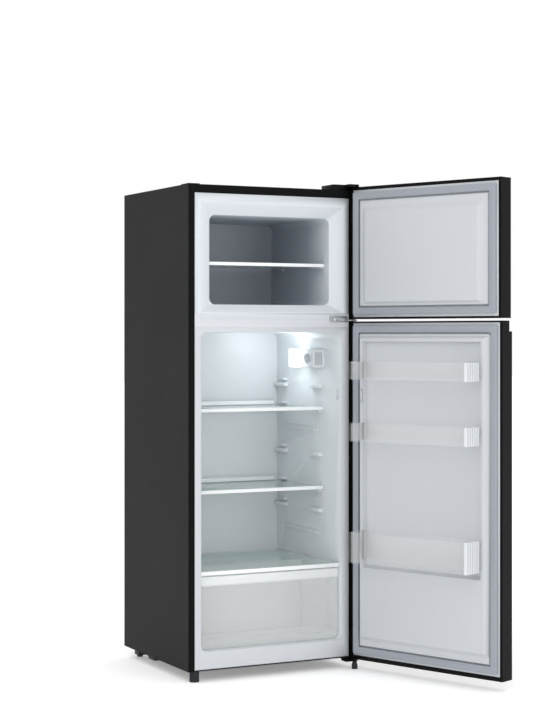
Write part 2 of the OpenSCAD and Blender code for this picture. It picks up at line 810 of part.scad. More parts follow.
module right_levelling_foot() {
    color([0.07, 0.08, 0.1]) translate([hinge_x, hinge_y, 0]) {
        cylinder(h = 12, r = right_foot_r);
        translate([0, 0, 12]) cylinder(h = low_hinge_z - 13, r1 = right_foot_r, r2 = 5.5);
        cylinder(h = low_hinge_z + hinge_t - 1.2, r = stud_r);
    }
}

module rear_roller(side) {
    color([0.07, 0.07, 0.07]) translate([side * roller_x - roller_w / 2, roller_y, roller_r])
        rotate([0, 90, 0]) difference() {
            cylinder(h = roller_w, r = roller_r);
            translate([0, 0, -1]) cylinder(h = roller_w + 2, r = axle_r + running_fit);
        }
}

// ---- doors, drawn closed and turned open about the hinge line ----

module on_door(angle) {
    translate([hinge_x, hinge_y, 0]) rotate([0, 0, angle])
        translate([-hinge_x, -hinge_y, 0]) children();
}

// a door's plan outline, with round front edges
module door_plan(inset) {
    x = door_w - inset;
    y0 = door_front + inset;
    y1 = door_back - inset;
    r = edge_r - inset;
    translate([-x, y0 + r]) square([2 * x, y1 - y0 - r]);
    translate([-x + r, y0]) square([2 * x - 2 * r, y1 - y0]);
    for (s = [-1, 1]) translate([s * (x - r), y0 + r]) circle(r);
}

module door_skin(z) {
    along_z(z) difference() {
        door_plan(0);
        door_plan(sheet);
        translate([-door_w + lip_w, door_back - 5]) square([2 * (door_w - lip_w), 10]);
    }
}

module socket_block(z) {
    box([hinge_x - 8, door_w - sheet], [hinge_y - 8, door_back - liner_in], z);
}

module bush_cut(z) {
    translate([hinge_x, hinge_y, z[0]]) cylinder(h = z[1] - z[0], r = bush_r);
}

module freezer_door_skin() {
    color([0.1, 0.1, 0.1]) on_door(freezer_door_open)
        door_skin([freezer_door_z0 + freezer_caps[0], freezer_door_z1 - freezer_caps[1]]);
}

module freezer_field(grow) {
    x = door_w - field_margin;
    z0 = freezer_door_z0 + freezer_caps[0] + field_margin_z;
    z1 = freezer_door_z1 - freezer_caps[1] - field_margin_z;
    frustum([-x - grow, x + grow], [door_back - 2, door_back + field_d + grow],
        [z0 - grow, z1 + grow], [3, 3], [3, 3]);
    frustum([-x + 12 - grow, x - 12 + grow],
        [door_back + field_d - 4, door_back + plug_d + grow],
        [z0 + 6 - grow, z1 - 16 + grow], [18, 18], [9, 24]);
}

module freezer_door_liner() {
    z = [freezer_door_z0 + freezer_caps[0], freezer_door_z1 - freezer_caps[1]];
    color([0.86, 0.88, 0.9]) on_door(freezer_door_open) difference() {
        union() {
            box([-door_w + lip_w, door_w - lip_w], [door_back - liner_in, door_back], z);
            freezer_field(0);
        }
        freezer_field(-liner_in);
        box([-door_w, door_w], [door_back - 5, door_back - liner_in], z);
    }
}

module freezer_door_foam() {
    z = [freezer_door_z0 + freezer_caps[0], freezer_door_z1 - freezer_caps[1]];
    color([0.9, 0.85, 0.6]) on_door(freezer_door_open) difference() {
        union() {
            along_z(z) difference() {
                door_plan(sheet);
                translate([-door_w, door_back - liner_in]) square([2 * door_w, 10]);
            }
            intersection() {
                freezer_field(-liner_in);
                box([-door_w, door_w], [door_back - liner_in, door_back + 40], z);
            }
        }
        socket_block([freezer_door_z0, freezer_door_z0 + socket]);
        socket_block([freezer_door_z1 - socket, freezer_door_z1]);
    }
}

module door_cap(z, block) {
    along_z(z) door_plan(0);
    socket_block(block);
}

module freezer_door_caps() {
    z0 = freezer_door_z0;
    z1 = freezer_door_z1;
    color([0.05, 0.05, 0.05]) on_door(freezer_door_open) difference() {
        union() {
            door_cap([z0, z0 + freezer_caps[0]], [z0, z0 + socket]);
            door_cap([z1 - freezer_caps[1], z1], [z1 - socket, z1]);
        }
        bush_cut([z0 - 1, z0 + socket - 1.5]);
        bush_cut([z1 - socket + 1.5, z1 + 1]);
    }
}

// a flanged bush for a hinge pin; side is 1 when its flange faces down
module bush(z, side) {
    translate([hinge_x, hinge_y, z]) mirror([0, 0, side > 0 ? 0 : 1]) difference() {
        union() {
            cylinder(h = bush_l, r = bush_r);
            translate([0, 0, -1]) cylinder(h = 1, r = bush_r);
        }
        translate([0, 0, -2]) cylinder(h = bush_l + 4, r = pin_r + running_fit);
    }
}

module freezer_door_bushes() {
    color([0.85, 0.85, 0.83]) on_door(freezer_door_open) {
        bush(freezer_door_z0, 1);
        bush(freezer_door_z1, -1);
    }
}

module door_gasket(z) {
    x = door_w - field_margin + 2 + gasket_w;
    m = field_margin_z - 2 - gasket_w;
    color([0.6, 0.62, 0.66]) difference() {
        box([-x, x], [door_back, -0.5], [z[0] + m, z[1] - m]);
        box([-x + gasket_w, x - gasket_w], [door_back - 1, 1],
            [z[0] + m + gasket_w, z[1] - m - gasket_w]);
    }
}

module freezer_door_gasket() {
    on_door(freezer_door_open)
        door_gasket([freezer_door_z0 + freezer_caps[0], freezer_door_z1 - freezer_caps[1]]);
}

module fridge_door_skin() {
    color([0.1, 0.1, 0.1]) on_door(fridge_door_open) {
        difference() {
            door_skin([fridge_door_z0 + fridge_caps[0], fridge_door_z1 - fridge_caps[1]]);
            box([-door_w - 1, door_w + 1], [door_front - 1, door_front + grip_d],
                [grip_z, fridge_door_z1]);
        }
    }
}

// the low rim and the panel that reaches into the cabinet's opening
module fridge_field(grow) {
    x = door_w - field_margin;
    z0 = fridge_door_z0 + fridge_caps[0] + field_margin_z;
    z1 = fridge_door_z1 - fridge_caps[1] - field_margin_z;
    frustum([-x - grow, x + grow], [door_back - 2, door_back + field_d + grow],
        [z0 - grow, z1 + grow], [3, 3], [3, 3]);
    frustum([-plug_x0 - grow, plug_x0 + grow],
        [door_back + field_d - 4, door_back + dyke_d + grow],
        [fridge_floor + 5 - grow, divider_z - 8 + grow],
        [dyke_slope, dyke_slope], [dyke_slope, 9]);
}

// the hollow between the dykes, where the bins hang
module bin_recess(grow) {
    frustum([-recess_w - grow, recess_w + grow],
        [door_back + dyke_d + 1, door_back + recess_d - grow],
        [recess_z0 - grow, recess_z1 + grow], [1, 1], [8, 4]);
}

// the rib beside the light switch
module switch_rib() {
    box([plug_x0 - dyke_slope - 9, plug_x0 - dyke_slope - 1],
        [door_back + dyke_d - 3, door_back + dyke_d + 3],
        [switch_z - 18, switch_z + 18]);
}

module fridge_door_liner() {
    z = [fridge_door_z0 + fridge_caps[0], fridge_door_z1 - fridge_caps[1]];
    color([0.86, 0.88, 0.9]) on_door(fridge_door_open) {
        difference() {
            union() {
                box([-door_w + lip_w, door_w - lip_w], [door_back - liner_in, door_back], z);
                fridge_field(0);
            }
            bin_recess(0);
            difference() {
                fridge_field(-liner_in);
                bin_recess(liner_in);
            }
            box([-door_w, door_w], [door_back - 5, door_back - liner_in], z);
        }
        switch_rib();
        bin_hooks();
    }
}

module fridge_door_foam() {
    z = [fridge_door_z0 + fridge_caps[0], fridge_door_z1 - fridge_caps[1]];
    color([0.9, 0.85, 0.6]) on_door(fridge_door_open) difference() {
        union() {
            along_z(z) difference() {
                door_plan(sheet);
                translate([-door_w, door_back - liner_in]) square([2 * door_w, 10]);
            }
            intersection() {
                difference() {
                    fridge_field(-liner_in);
                    bin_recess(liner_in);
                }
                box([-door_w, door_w], [door_back - liner_in, door_back + 40], z);
            }
        }
        socket_block([fridge_door_z0, fridge_door_z0 + socket]);
        socket_block([fridge_door_z1 - socket, fridge_door_z1]);
        box([-door_w - 1, door_w + 1], [door_front - 1, door_front + grip_d + 2],
            [grip_z - 2, fridge_door_z1]);
        switch_rib();
        bin_hooks();
    }
}

module fridge_door_caps() {
    z0 = fridge_door_z0;
    z1 = fridge_door_z1;
    y = door_front + grip_d;
    color([0.05, 0.05, 0.05]) on_door(fridge_door_open) difference() {
        union() {
            door_cap([z0, z0 + fridge_caps[0]], [z0, z0 + socket]);
            difference() {
                along_z([z1 - fridge_caps[1], z1]) door_plan(0);
                box([-door_w - 1, door_w + 1], [door_front - 1, y], [z1 - 20, z1 + 1]);
            }
            socket_block([z1 - socket, z1]);
            box([-door_w + sheet, door_w - sheet], [y, y + 2], [grip_z - 2, z1]);
            along_z([grip_z - 2, grip_z]) intersection() {
                door_plan(sheet);
                translate([-door_w, door_front]) square([2 * door_w, grip_d + 2]);
            }
        }
        bush_cut([z0 - 1, z0 + socket - 1.5]);
        bush_cut([z1 - socket + 1.5, z1 + 1]);
    }
}

module fridge_door_bushes() {
    color([0.85, 0.85, 0.83]) on_door(fridge_door_open) {
        bush(fridge_door_z0, 1);
        bush(fridge_door_z1, -1);
    }
}

module fridge_door_gasket() {
    on_door(fridge_door_open)
        door_gasket([fridge_door_z0 + fridge_caps[0], fridge_door_z1 - fridge_caps[1]]);
}

// ---- door bins ----

// lugs on the dykes' inner sides that the bins hang on
module bin_hooks() {
    for (b = bins) mirrored() box([bin_half - hook_w + 1, recess_w + 2],
        [hook_y, hook_y + 7], [b[0] + b[1] - 20, b[0] + b[1] - 10]);
}

module bin_plan(t) {
    x = bin_half - t;
    w = x - bin_end_t;
    r = 14 - t;
    translate([-x, tail_y + t]) square([2 * x, bin_y0 - tail_y - 2 * t]);
    translate([-w, tail_y + t]) square([2 * w, bin_y1 - r - tail_y - t]);
    translate([-w + r, tail_y + t]) square([2 * w - 2 * r, bin_y1 - tail_y - 2 * t]);
    for (s = [-1, 1]) translate([s * (w - r), bin_y1 - t - r]) circle(r);
}

// a clear tray, a little wider where it hangs between the dykes
module door_bin(b) {
    z0 = b[0];
    z1 = b[0] + b[1];
    color([0.85, 0.9, 0.94, 0.5]) on_door(fridge_door_open) difference() {
        along_z([z0, z1]) bin_plan(0);
        along_z([z0 + bin_wall, z1 + 1]) bin_plan(bin_wall);
        mirrored() box([bin_half - hook_w, bin_half + 1], [hook_y - 1, hook_y + 7.5],
            [z0 + 6, z1 - 10 + slip]);
    }
}

// the white end pieces a bin's tray is clipped between
module bin_ends(b) {
    x1 = bin_half;
    x0 = x1 - bin_end_t;
    z = [b[0], b[0] + b[1]];
    color([0.93, 0.94, 0.96]) on_door(fridge_door_open) mirrored() {
        box([x0, x0 + 4], [bin_y0, bin_y0 + 62], z);
        for (i = [0 : 5]) box([x0 + 3, x1], [bin_y0 + i * 11, bin_y0 + i * 11 + 7], z);
    }
}

// ---- shelves ----

module shelf_glass(w, y, z) {
    color([0.75, 0.9, 0.88, 0.4]) along_z([z, z + glass_t]) rounded([-w, w], y, 6);
}

module freezer_shelf_glass() { shelf_glass(freezer_shelf_w, freezer_shelf_y, freezer_shelf_z); }
module upper_shelf_glass() { shelf_glass(shelf_w, shelf_y, upper_shelf_z); }
module lower_shelf_glass() { shelf_glass(shelf_w, shelf_y, lower_shelf_z); }

module front_trim(w, y, z, h) {
    color([0.93, 0.94, 0.95]) difference() {
        box([-w, w], [y, y + 12], [z - 3, z - 3 + h]);
        box([-w - 1, w + 1], [y + 2, y + 13], [z, z + glass_t]);
    }
}

module freezer_shelf_trim() {
    front_trim(freezer_shelf_w, freezer_shelf_front, freezer_shelf_z, 9.5);
}

module shelf_trims(z) {
    w = shelf_w - lug_w - 3;
    y1 = shelf_y[1];
    front_trim(shelf_w, shelf_front, z, 10);
    color([0.93, 0.94, 0.95]) difference() {
        box([-w, w], [y1 - 8, y1 + 2], [z - 3, z + 16]);
        box([-w - 1, w + 1], [y1 - 9, y1], [z, z + glass_t]);
        box([-w - 1, w + 1], [y1 - 9, y1 - 2], [z + glass_t + 3, z + 17]);
    }
}

module upper_shelf_trims() { shelf_trims(upper_shelf_z); }
module lower_shelf_trims() { shelf_trims(lower_shelf_z); }

// the crisper's lid: a glass pane moulded into a white frame
module crisper_cover() {
    w = shelf_w;
    y = [cover_front, fridge_back - 8];
    z1 = cover_z + cover_bar_h;
    color([0.93, 0.94, 0.95]) {
        box([-w, w], [y[0], y[0] + 14], [cover_z, z1]);
        mirrored() box([w - 16, w], y, [cover_z + 6, z1]);
        box([-w, w], [y[1] - 14, y[1]], [cover_z + 6, z1]);
        box([-w + 15, w - 15], [y[0] + 13, y[1] - 13], [z1 - glass_t - 1, z1 - 1]);
    }
}

// ---- crisper drawer ----

module crisper_drawer() {
    x = [-drawer_w, drawer_w];
    t = drawer_wall;
    top = drawer_z[1] + 60;
    color([0.85, 0.9, 0.92, 0.5]) difference() {
        union() {
            intersection() {
                along_y(drawer_y) rounded(x, [drawer_z[0], top], drawer_r);
                box([-half_w, half_w], [0, cabinet_d], drawer_z);
            }
            box(x, [drawer_y[0] - 3, drawer_y[0] + 1], [drawer_z[1] - 26, drawer_z[1]]);
        }
        intersection() {
            along_y([drawer_y[0] + t, drawer_y[1] - t])
                rounded([x[0] + t, x[1] - t], [drawer_z[0] + t, top], drawer_r - t);
            box([-half_w, half_w], [0, cabinet_d], [0, drawer_z[1] + 1]);
        }
    }
}

outer_shell();
back_panel();
base_pan();
cabinet_foam();
freezer_liner();
fridge_liner();
divider_strip();
top_corner_cap();
compressor();
compressor_grommets();
compressor_relay_cover();
compressor_plate();
refrigerant_pipes();
condenser_tubes();
drip_tray();
drain_tube();
rear_spacers();
cord_gland();
thermostat_housing();
thermostat_body();
lamp_cover();
lamp_module();
light_switch_housing();
top_hinge();
top_hinge_cover();
middle_hinge();
lower_hinge();
hinge_screws();
thermostat_knob();
light_switch_plunger();
left_levelling_foot();
right_levelling_foot();
rear_roller(-1);  // left_rear_roller
rear_roller(1);  // right_rear_roller
freezer_door_skin();
freezer_door_foam();
freezer_door_liner();
freezer_door_gasket();
freezer_door_caps();
freezer_door_bushes();
fridge_door_skin();
fridge_door_foam();
fridge_door_liner();
fridge_door_gasket();
fridge_door_caps();
fridge_door_bushes();
door_bin(bins[0]);  // upper_door_bin
bin_ends(bins[0]);  // upper_bin_ends
door_bin(bins[1]);  // middle_door_bin
bin_ends(bins[1]);  // middle_bin_ends
door_bin(bins[2]);  // lower_door_bin
bin_ends(bins[2]);  // lower_bin_ends
freezer_shelf_glass();
freezer_shelf_trim();
upper_shelf_glass();
upper_shelf_trims();
lower_shelf_glass();
lower_shelf_trims();
crisper_cover();
crisper_drawer();
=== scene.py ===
import math

import bpy
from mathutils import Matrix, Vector


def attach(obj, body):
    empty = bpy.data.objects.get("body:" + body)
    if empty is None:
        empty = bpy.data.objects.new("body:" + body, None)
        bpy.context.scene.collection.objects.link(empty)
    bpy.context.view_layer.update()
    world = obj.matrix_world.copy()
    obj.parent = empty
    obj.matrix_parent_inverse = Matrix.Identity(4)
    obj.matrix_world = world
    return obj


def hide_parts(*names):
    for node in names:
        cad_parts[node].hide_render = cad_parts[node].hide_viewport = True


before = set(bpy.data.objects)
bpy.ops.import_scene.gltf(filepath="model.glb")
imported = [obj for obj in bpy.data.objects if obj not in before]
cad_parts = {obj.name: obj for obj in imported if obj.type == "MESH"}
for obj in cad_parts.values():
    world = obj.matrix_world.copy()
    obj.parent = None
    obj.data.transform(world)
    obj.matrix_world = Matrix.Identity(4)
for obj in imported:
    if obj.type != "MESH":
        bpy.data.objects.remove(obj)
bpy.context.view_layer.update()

# ---- Studio ----
# A plain white floor that runs back out of sight, an even white surround and two soft boxes.
# The camera stands well back and to the left, level with the divider between the compartments.
camera_place = (-2.3048, -4.5174, 0.9957)
camera_turn = (math.pi / 2, 0, math.radians(-27))
bpy.ops.object.select_all(action="DESELECT")
bpy.ops.object.camera_add(location=camera_place, rotation=camera_turn)
camera = bpy.context.object
camera.data.lens = 85.96
camera.data.shift_y = -0.0386
camera.data.clip_end = 60
bpy.context.scene.camera = camera
bpy.context.scene.view_settings.view_transform = "Standard"

bpy.ops.mesh.primitive_plane_add(size=60, location=(0, 0, 0))
floor = bpy.context.object
floor.name = "studio_floor"
floor_paint = bpy.data.materials.new("studio_white")
floor_paint.use_nodes = True
shader = floor_paint.node_tree.nodes["Principled BSDF"]
shader.inputs["Base Color"].default_value = (0.98, 0.98, 0.98, 1)
shader.inputs["Roughness"].default_value = 0.8
shader.inputs["Emission Color"].default_value = (1, 1, 1, 1)
shader.inputs["Emission Strength"].default_value = 0.25
floor.data.materials.append(floor_paint)

world = bpy.data.worlds.new("studio")
bpy.context.scene.world = world
world.use_nodes = True
world.node_tree.nodes["Background"].inputs["Color"].default_value = (1, 1, 1, 1)
world.node_tree.nodes["Background"].inputs["Strength"].default_value = 1.0


def softbox(name, place, aim, width, height, watts):
    bpy.ops.object.light_add(type="AREA", location=place)
    lamp = bpy.context.object
    lamp.name = name
    lamp.data.shape = "RECTANGLE"
    lamp.data.size = width
    lamp.data.size_y = height
    lamp.data.energy = watts
    lamp.rotation_euler = (Vector(aim) - Vector(place)).to_track_quat("-Z", "Y").to_euler()


softbox("key_light", (-2.5, -3.5, 3.0), aim=(0, 0, 0.8), width=2.0, height=2.0, watts=30)
softbox("front_light", (1.5, -4.0, 1.2), aim=(0.1, 0.1, 0.8), width=1.5, height=2.5, watts=18)


# ---- Outer shell ----
# One sheet of steel folded into the sides and the top, with a flange turned in at the front.
# Its sides carry a satin charcoal paint with a faint orange peel; the flange is nearer black.
def surface(name, color, roughness, grain=400.0, bump=0.02, shade=0.06, metallic=0.0, specular=0.5):
    """A paint, plastic or metal whose colour and gloss wander a little over a fine grain."""
    made = bpy.data.materials.new(name)
    made.use_nodes = True
    tree = made.node_tree
    shader = tree.nodes["Principled BSDF"]
    shader.inputs["Metallic"].default_value = metallic
    shader.inputs["Specular IOR Level"].default_value = specular
    place = tree.nodes.new("ShaderNodeTexCoord")
    fine = tree.nodes.new("ShaderNodeTexNoise")
    fine.inputs["Scale"].default_value = grain
    fine.inputs["Detail"].default_value = 2
    tree.links.new(place.outputs["Object"], fine.inputs["Vector"])
    broad = tree.nodes.new("ShaderNodeTexNoise")
    broad.inputs["Scale"].default_value = 3
    broad.inputs["Detail"].default_value = 3
    tree.links.new(place.outputs["Object"], broad.inputs["Vector"])
    tint = tree.nodes.new("ShaderNodeMix")
    tint.data_type = "RGBA"
    tint.inputs["A"].default_value = (*[c * (1 - shade) for c in color], 1)
    tint.inputs["B"].default_value = (*[min(1, c * (1 + shade)) for c in color], 1)
    tree.links.new(broad.outputs["Fac"], tint.inputs["Factor"])
    tree.links.new(tint.outputs["Result"], shader.inputs["Base Color"])
    gloss = tree.nodes.new("ShaderNodeMapRange")
    gloss.inputs["To Min"].default_value = max(0.02, roughness - 0.05)
    gloss.inputs["To Max"].default_value = roughness + 0.05
    tree.links.new(broad.outputs["Fac"], gloss.inputs["Value"])
    tree.links.new(gloss.outputs["Result"], shader.inputs["Roughness"])
    relief = tree.nodes.new("ShaderNodeBump")
    relief.inputs["Strength"].default_value = bump
    relief.inputs["Distance"].default_value = 0.001
    tree.links.new(fine.outputs["Fac"], relief.inputs["Height"])
    tree.links.new(relief.outputs["Normal"], shader.inputs["Normal"])
    return made


def blended(made, axis, start, end, second):
    """Turns the material's colour into a second one between two places along X, Y or Z."""
    tree = made.node_tree
    shader = tree.nodes["Principled BSDF"]
    first = shader.inputs["Base Color"].links[0].from_socket
    place = tree.nodes.new("ShaderNodeTexCoord")
    split = tree.nodes.new("ShaderNodeSeparateXYZ")
    tree.links.new(place.outputs["Object"], split.inputs["Vector"])
    reach = tree.nodes.new("ShaderNodeMapRange")
    reach.inputs["From Min"].default_value = start
    reach.inputs["From Max"].default_value = end
    tree.links.new(split.outputs[axis], reach.inputs["Value"])
    mix = tree.nodes.new("ShaderNodeMix")
    mix.data_type = "RGBA"
    mix.inputs["B"].default_value = (*second, 1)
    tree.links.new(reach.outputs["Result"], mix.inputs["Factor"])
    tree.links.new(first, mix.inputs["A"])
    tree.links.new(mix.outputs["Result"], shader.inputs["Base Color"])


def finish(node, made):
    """Gives a CAD node its material."""
    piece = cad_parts[node]
    piece.data.materials.clear()
    piece.data.materials.append(made)


def copied(node, join=True):
    """A copy of a CAD node, with its seams merged and, where asked, its flat faces joined."""
    piece = bpy.data.objects.new("made_" + node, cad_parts[node].data.copy())
    bpy.context.scene.collection.objects.link(piece)
    bpy.ops.object.select_all(action="DESELECT")
    bpy.context.view_layer.objects.active = piece
    piece.select_set(True)
    if piece.data.has_custom_normals:
        bpy.ops.mesh.customdata_custom_splitnormals_clear()
    bpy.ops.object.mode_set(mode="EDIT")
    bpy.ops.mesh.select_all(action="SELECT")
    bpy.ops.mesh.remove_doubles(threshold=0.00001)
    if join:
        bpy.ops.mesh.dissolve_limited(angle_limit=math.radians(1))
    bpy.ops.object.mode_set(mode="OBJECT")
    return piece


def rounded_edges(piece, width, angle=32, segments=2, edge_slot=-1):
    """Rounds every edge sharper than the angle and shades the piece smooth."""
    bpy.ops.object.select_all(action="DESELECT")
    bpy.context.view_layer.objects.active = piece
    piece.select_set(True)
    bevel = piece.modifiers.new("Bevel", "BEVEL")
    bevel.width = width
    bevel.segments = segments
    bevel.limit_method = "ANGLE"
    bevel.angle_limit = math.radians(angle)
    bevel.material = edge_slot
    bevel.miter_outer = "MITER_ARC" if segments > 2 else "MITER_SHARP"
    bpy.ops.object.modifier_apply(modifier="Bevel")
    bpy.ops.object.shade_smooth_by_angle(angle=math.radians(angle))


def softened(node, body, made, width, segments=2, join=True, edge=None):
    """Stands for a CAD node, with its edges rounded as they leave the mould or the press."""
    piece = copied(node, join)
    piece.data.materials.clear()
    piece.data.materials.append(made)
    if edge:
        piece.data.materials.append(edge)
    rounded_edges(piece, width, segments=segments, edge_slot=1 if edge else -1)
    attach(piece, body)
    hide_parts(node)
    return piece


shell_paint = surface("charcoal_paint", (0.012, 0.012, 0.0123), 0.55, grain=700, bump=0.03, specular=0.08)
flange_black = (0.0025, 0.003, 0.0028)
blended(shell_paint, "Y", start=0.0012, end=0.0006, second=flange_black)
finish("outer_shell", shell_paint)

# ---- Back panel and base pan ----
# A flat sheet closes the back and a folded one the bottom, both pressed into the shell's edges.
# Thin matt primer that drifts a little in tone, greyer on the back than on the base.
back_grey = (0.05, 0.05, 0.052)
base_black = (0.006, 0.006, 0.0065)
back_primer = surface("back_primer", back_grey, 0.6, grain=250, bump=0.04, shade=0.12, specular=0.3)
base_primer = surface("base_primer", base_black, 0.55, grain=250, bump=0.04, shade=0.15, specular=0.25)
finish("back_panel", back_primer)
finish("base_pan", base_primer)

# ---- Cabinet insulation ----
# Polyurethane foam blown between the shell and the liners; it never shows once assembled.
# Pale straw colour with open, uneven cells.
foam = surface("polyurethane_foam", (0.74, 0.66, 0.42), 0.9, grain=180, bump=0.5, shade=0.15)
finish("cabinet_foam", foam)


# ---- Compartment liners ----
# Two tubs thermoformed from white polystyrene sheet, drawn down over a mould, so that every
# corner is soft; the freezer's mouth flares out to the front flange.
def shell_of(node, body, seen, made, width, thickness, segments=3):
    """Stands for a thin moulded CAD node: its seen side, with soft corners, thickened again."""
    piece = copied(node, join=False)
    bpy.context.tool_settings.mesh_select_mode = (False, False, True)
    bpy.ops.object.mode_set(mode="EDIT")
    bpy.ops.mesh.select_all(action="DESELECT")
    bpy.ops.object.mode_set(mode="OBJECT")
    for face in piece.data.polygons:
        face.select = not seen(face.center, face.normal)
    bpy.ops.object.mode_set(mode="EDIT")
    bpy.ops.mesh.delete(type="FACE")
    bpy.ops.object.mode_set(mode="OBJECT")
    rounded_edges(piece, width, segments=segments)
    wall = piece.modifiers.new("Solidify", "SOLIDIFY")
    wall.thickness = thickness
    wall.offset = -1
    bpy.ops.object.modifier_apply(modifier="Solidify")
    piece.data.materials.clear()
    piece.data.materials.append(made)
    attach(piece, body)
    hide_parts(node)
    return piece


tub_half = 0.1972
tub_floor = 1.0838
tub_roof = 1.3432
tub_depth = 0.4002
flare_depth = 0.0214


def inside_freezer(center, normal):
    """Tells whether a face of the freezer's liner is on the side that shows."""
    front = center.y < 0.0002
    mouth = center.y < flare_depth and normal.y < -0.01
    level = tub_floor < center.z < tub_roof
    walls = abs(center.x) < tub_half and level and center.y < tub_depth
    return front or mouth or walls


liner_white = surface("liner_white", (0.7, 0.73, 0.75), 0.38, grain=60, bump=0.02, shade=0.02)
# Painted shade: the freezer's liner is set darker and bluer than the fridge's for its unlit compartment, and
# from 30 to 160 mm in it fades to a deeper painted shade at the back.
freezer_white = surface("freezer_liner_white", (0.62, 0.655, 0.69), 0.4, grain=60, bump=0.02, shade=0.03)
freezer_back_shade = (0.37, 0.405, 0.45)
liner_mouth_shade = (0.54, 0.56, 0.59)
blended(freezer_white, "Y", start=0.03, end=0.16, second=freezer_back_shade)
tub_sheet = 0.0015
shell_of("freezer_liner", "cabinet", inside_freezer, freezer_white, 0.005, tub_sheet, segments=4)
# Painted shade: the fridge liner's front flange and its first 12 mm inside turn darker towards the mouth.
blended(liner_white, "Y", start=0.012, end=0.0, second=liner_mouth_shade)
softened("fridge_liner", "cabinet", liner_white, width=0.0007)

# ---- Divider strip ----
# The moulded strip between the two openings, pressed over the cross rail, with its two plugs.
# Same white plastic as the liners, a shade greyer.
strip_white = surface("strip_white", (0.58, 0.6, 0.635), 0.4, grain=90, bump=0.02, shade=0.02)
softened("divider_strip", "cabinet", strip_white, width=0.0005)

# ---- Top corner cap ----
# A flat black moulding clipped over the shell's top left corner.
# Soft black plastic, the same as in the doors' end caps and the hinge cover.
soft_black = (0.0025, 0.0025, 0.0027)
cap_black = surface("moulded_black", soft_black, 0.45, grain=500, bump=0.05, shade=0.1, specular=0.1)
softened("top_corner_cap", "cabinet", cap_black, width=0.0006)

# ---- Compressor, its mounts and its plate ----
# A deep-drawn steel pot welded at the belt, enamelled black, on four rubber grommets that stand
# on a pressed plate; a plastic cover clips over the relay.
pot_black = surface("compressor_enamel", (0.01, 0.01, 0.011), 0.3, grain=300, bump=0.06, shade=0.2)
softened("compressor", "cabinet", pot_black, width=0.0015)
rubber = surface("grommet_rubber", (0.012, 0.012, 0.013), 0.75, grain=400, bump=0.1, specular=0.3)
finish("compressor_grommets", rubber)
softened("compressor_relay_cover", "cabinet", cap_black, width=0.0012)
plate_primer = surface("plate_primer", (0.012, 0.012, 0.012), 0.5, grain=250, bump=0.05, shade=0.2)
softened("compressor_plate", "cabinet", plate_primer, width=0.0004)

# ---- Refrigerant pipes and condenser ----
# Brazed copper tube in the bay and a copper serpentine taped behind each side sheet.
# The copper is dull and browned in places.
copper = surface("tarnished_copper", (0.55, 0.26, 0.13), 0.38, grain=120, bump=0.05, shade=0.35, metallic=1.0)
finish("refrigerant_pipes", copper)
finish("condenser_tubes", copper)

# ---- Drip tray and drain ----
# A black tray snapped over the compressor and a short tube that leads the meltwater to it.
# Both are the same soft black plastic as the corner cap.
softened("drip_tray", "cabinet", cap_black, width=0.0008)
finish("drain_tube", cap_black)

# ---- Rear spacers and cord gland ----
# Stubs that keep the cabinet off the wall, and the grommet where the mains lead leaves the bay.
# Black mouldings, with their edges rounded on the stubs.
softened("rear_spacers", "cabinet", cap_black, width=0.0015)
finish("cord_gland", cap_black)


# ---- Thermostat housing, knob and lamp ----
# A white moulded box screwed to the right wall: vent slots on its front, the knob in the middle,
# and at the back a milky lens lit by three diodes on a small board.
def lit(made, color, strength):
    """Makes a material give off light of its own."""
    shader = made.node_tree.nodes["Principled BSDF"]
    shader.inputs["Emission Color"].default_value = (*color, 1)
    shader.inputs["Emission Strength"].default_value = strength


housing_white = surface("housing_white", (0.62, 0.65, 0.68), 0.42, grain=90, bump=0.03, shade=0.02)
softened("thermostat_housing", "cabinet", housing_white, width=0.0012)
finish("thermostat_body", surface("control_grey", (0.4, 0.4, 0.42), 0.5))
knob_grey = surface("knob_grey", (0.5, 0.53, 0.55), 0.35, grain=200, bump=0.03)
softened("thermostat_knob", "thermostat_knob", knob_grey, width=0.0009)

lens_milk = surface("lens_milk", (0.9, 0.93, 0.95), 0.3, grain=200, bump=0.03)
lamp_glow = (0.93, 0.98, 1)
lit(lens_milk, lamp_glow, 1.1)
softened("lamp_cover", "cabinet", lens_milk, width=0.0015)
board = surface("lamp_board", (0.9, 0.92, 0.95), 0.4)
lit(board, lamp_glow, 3)
finish("lamp_module", board)
lamp_place = (0.18, 0.246, 0.924)
bpy.ops.object.light_add(type="POINT", location=lamp_place)
inner = bpy.context.object
inner.name = "lamp_light"
inner.data.energy = 0.55
inner.data.color = (0.92, 0.97, 1.0)
inner.data.shadow_soft_size = 0.03

# ---- Light switch ----
# A plunger in a snap-in housing on the right wall, in the same white plastic as the thermostat's
# box. It slides on a joint of its own; the shut door's rib passes clear of it.
softened("light_switch_housing", "cabinet", housing_white, width=0.0004)
softened("light_switch_plunger", "light_switch_plunger", housing_white, width=0.0008)

# ---- Hinges ----
# Pressed steel arms with riveted pins. The top one hides under a black cover, the middle one is
# dull grey, and the bottom one is black; their screws are bright zinc.
zinc = surface("zinc_plate", (0.62, 0.64, 0.67), 0.32, grain=80, bump=0.04, shade=0.12, metallic=1.0)
softened("top_hinge", "cabinet", cap_black, width=0.0005)
softened("top_hinge_cover", "cabinet", cap_black, width=0.0012)
arm_grey = (0.3, 0.31, 0.33)
hinge_grey = surface("hinge_grey", arm_grey, 0.35, grain=80, bump=0.04, shade=0.15, metallic=0.6)
softened("middle_hinge", "cabinet", hinge_grey, width=0.0005)
softened("lower_hinge", "cabinet", cap_black, width=0.0006)
softened("hinge_screws", "cabinet", zinc, width=0.0006)

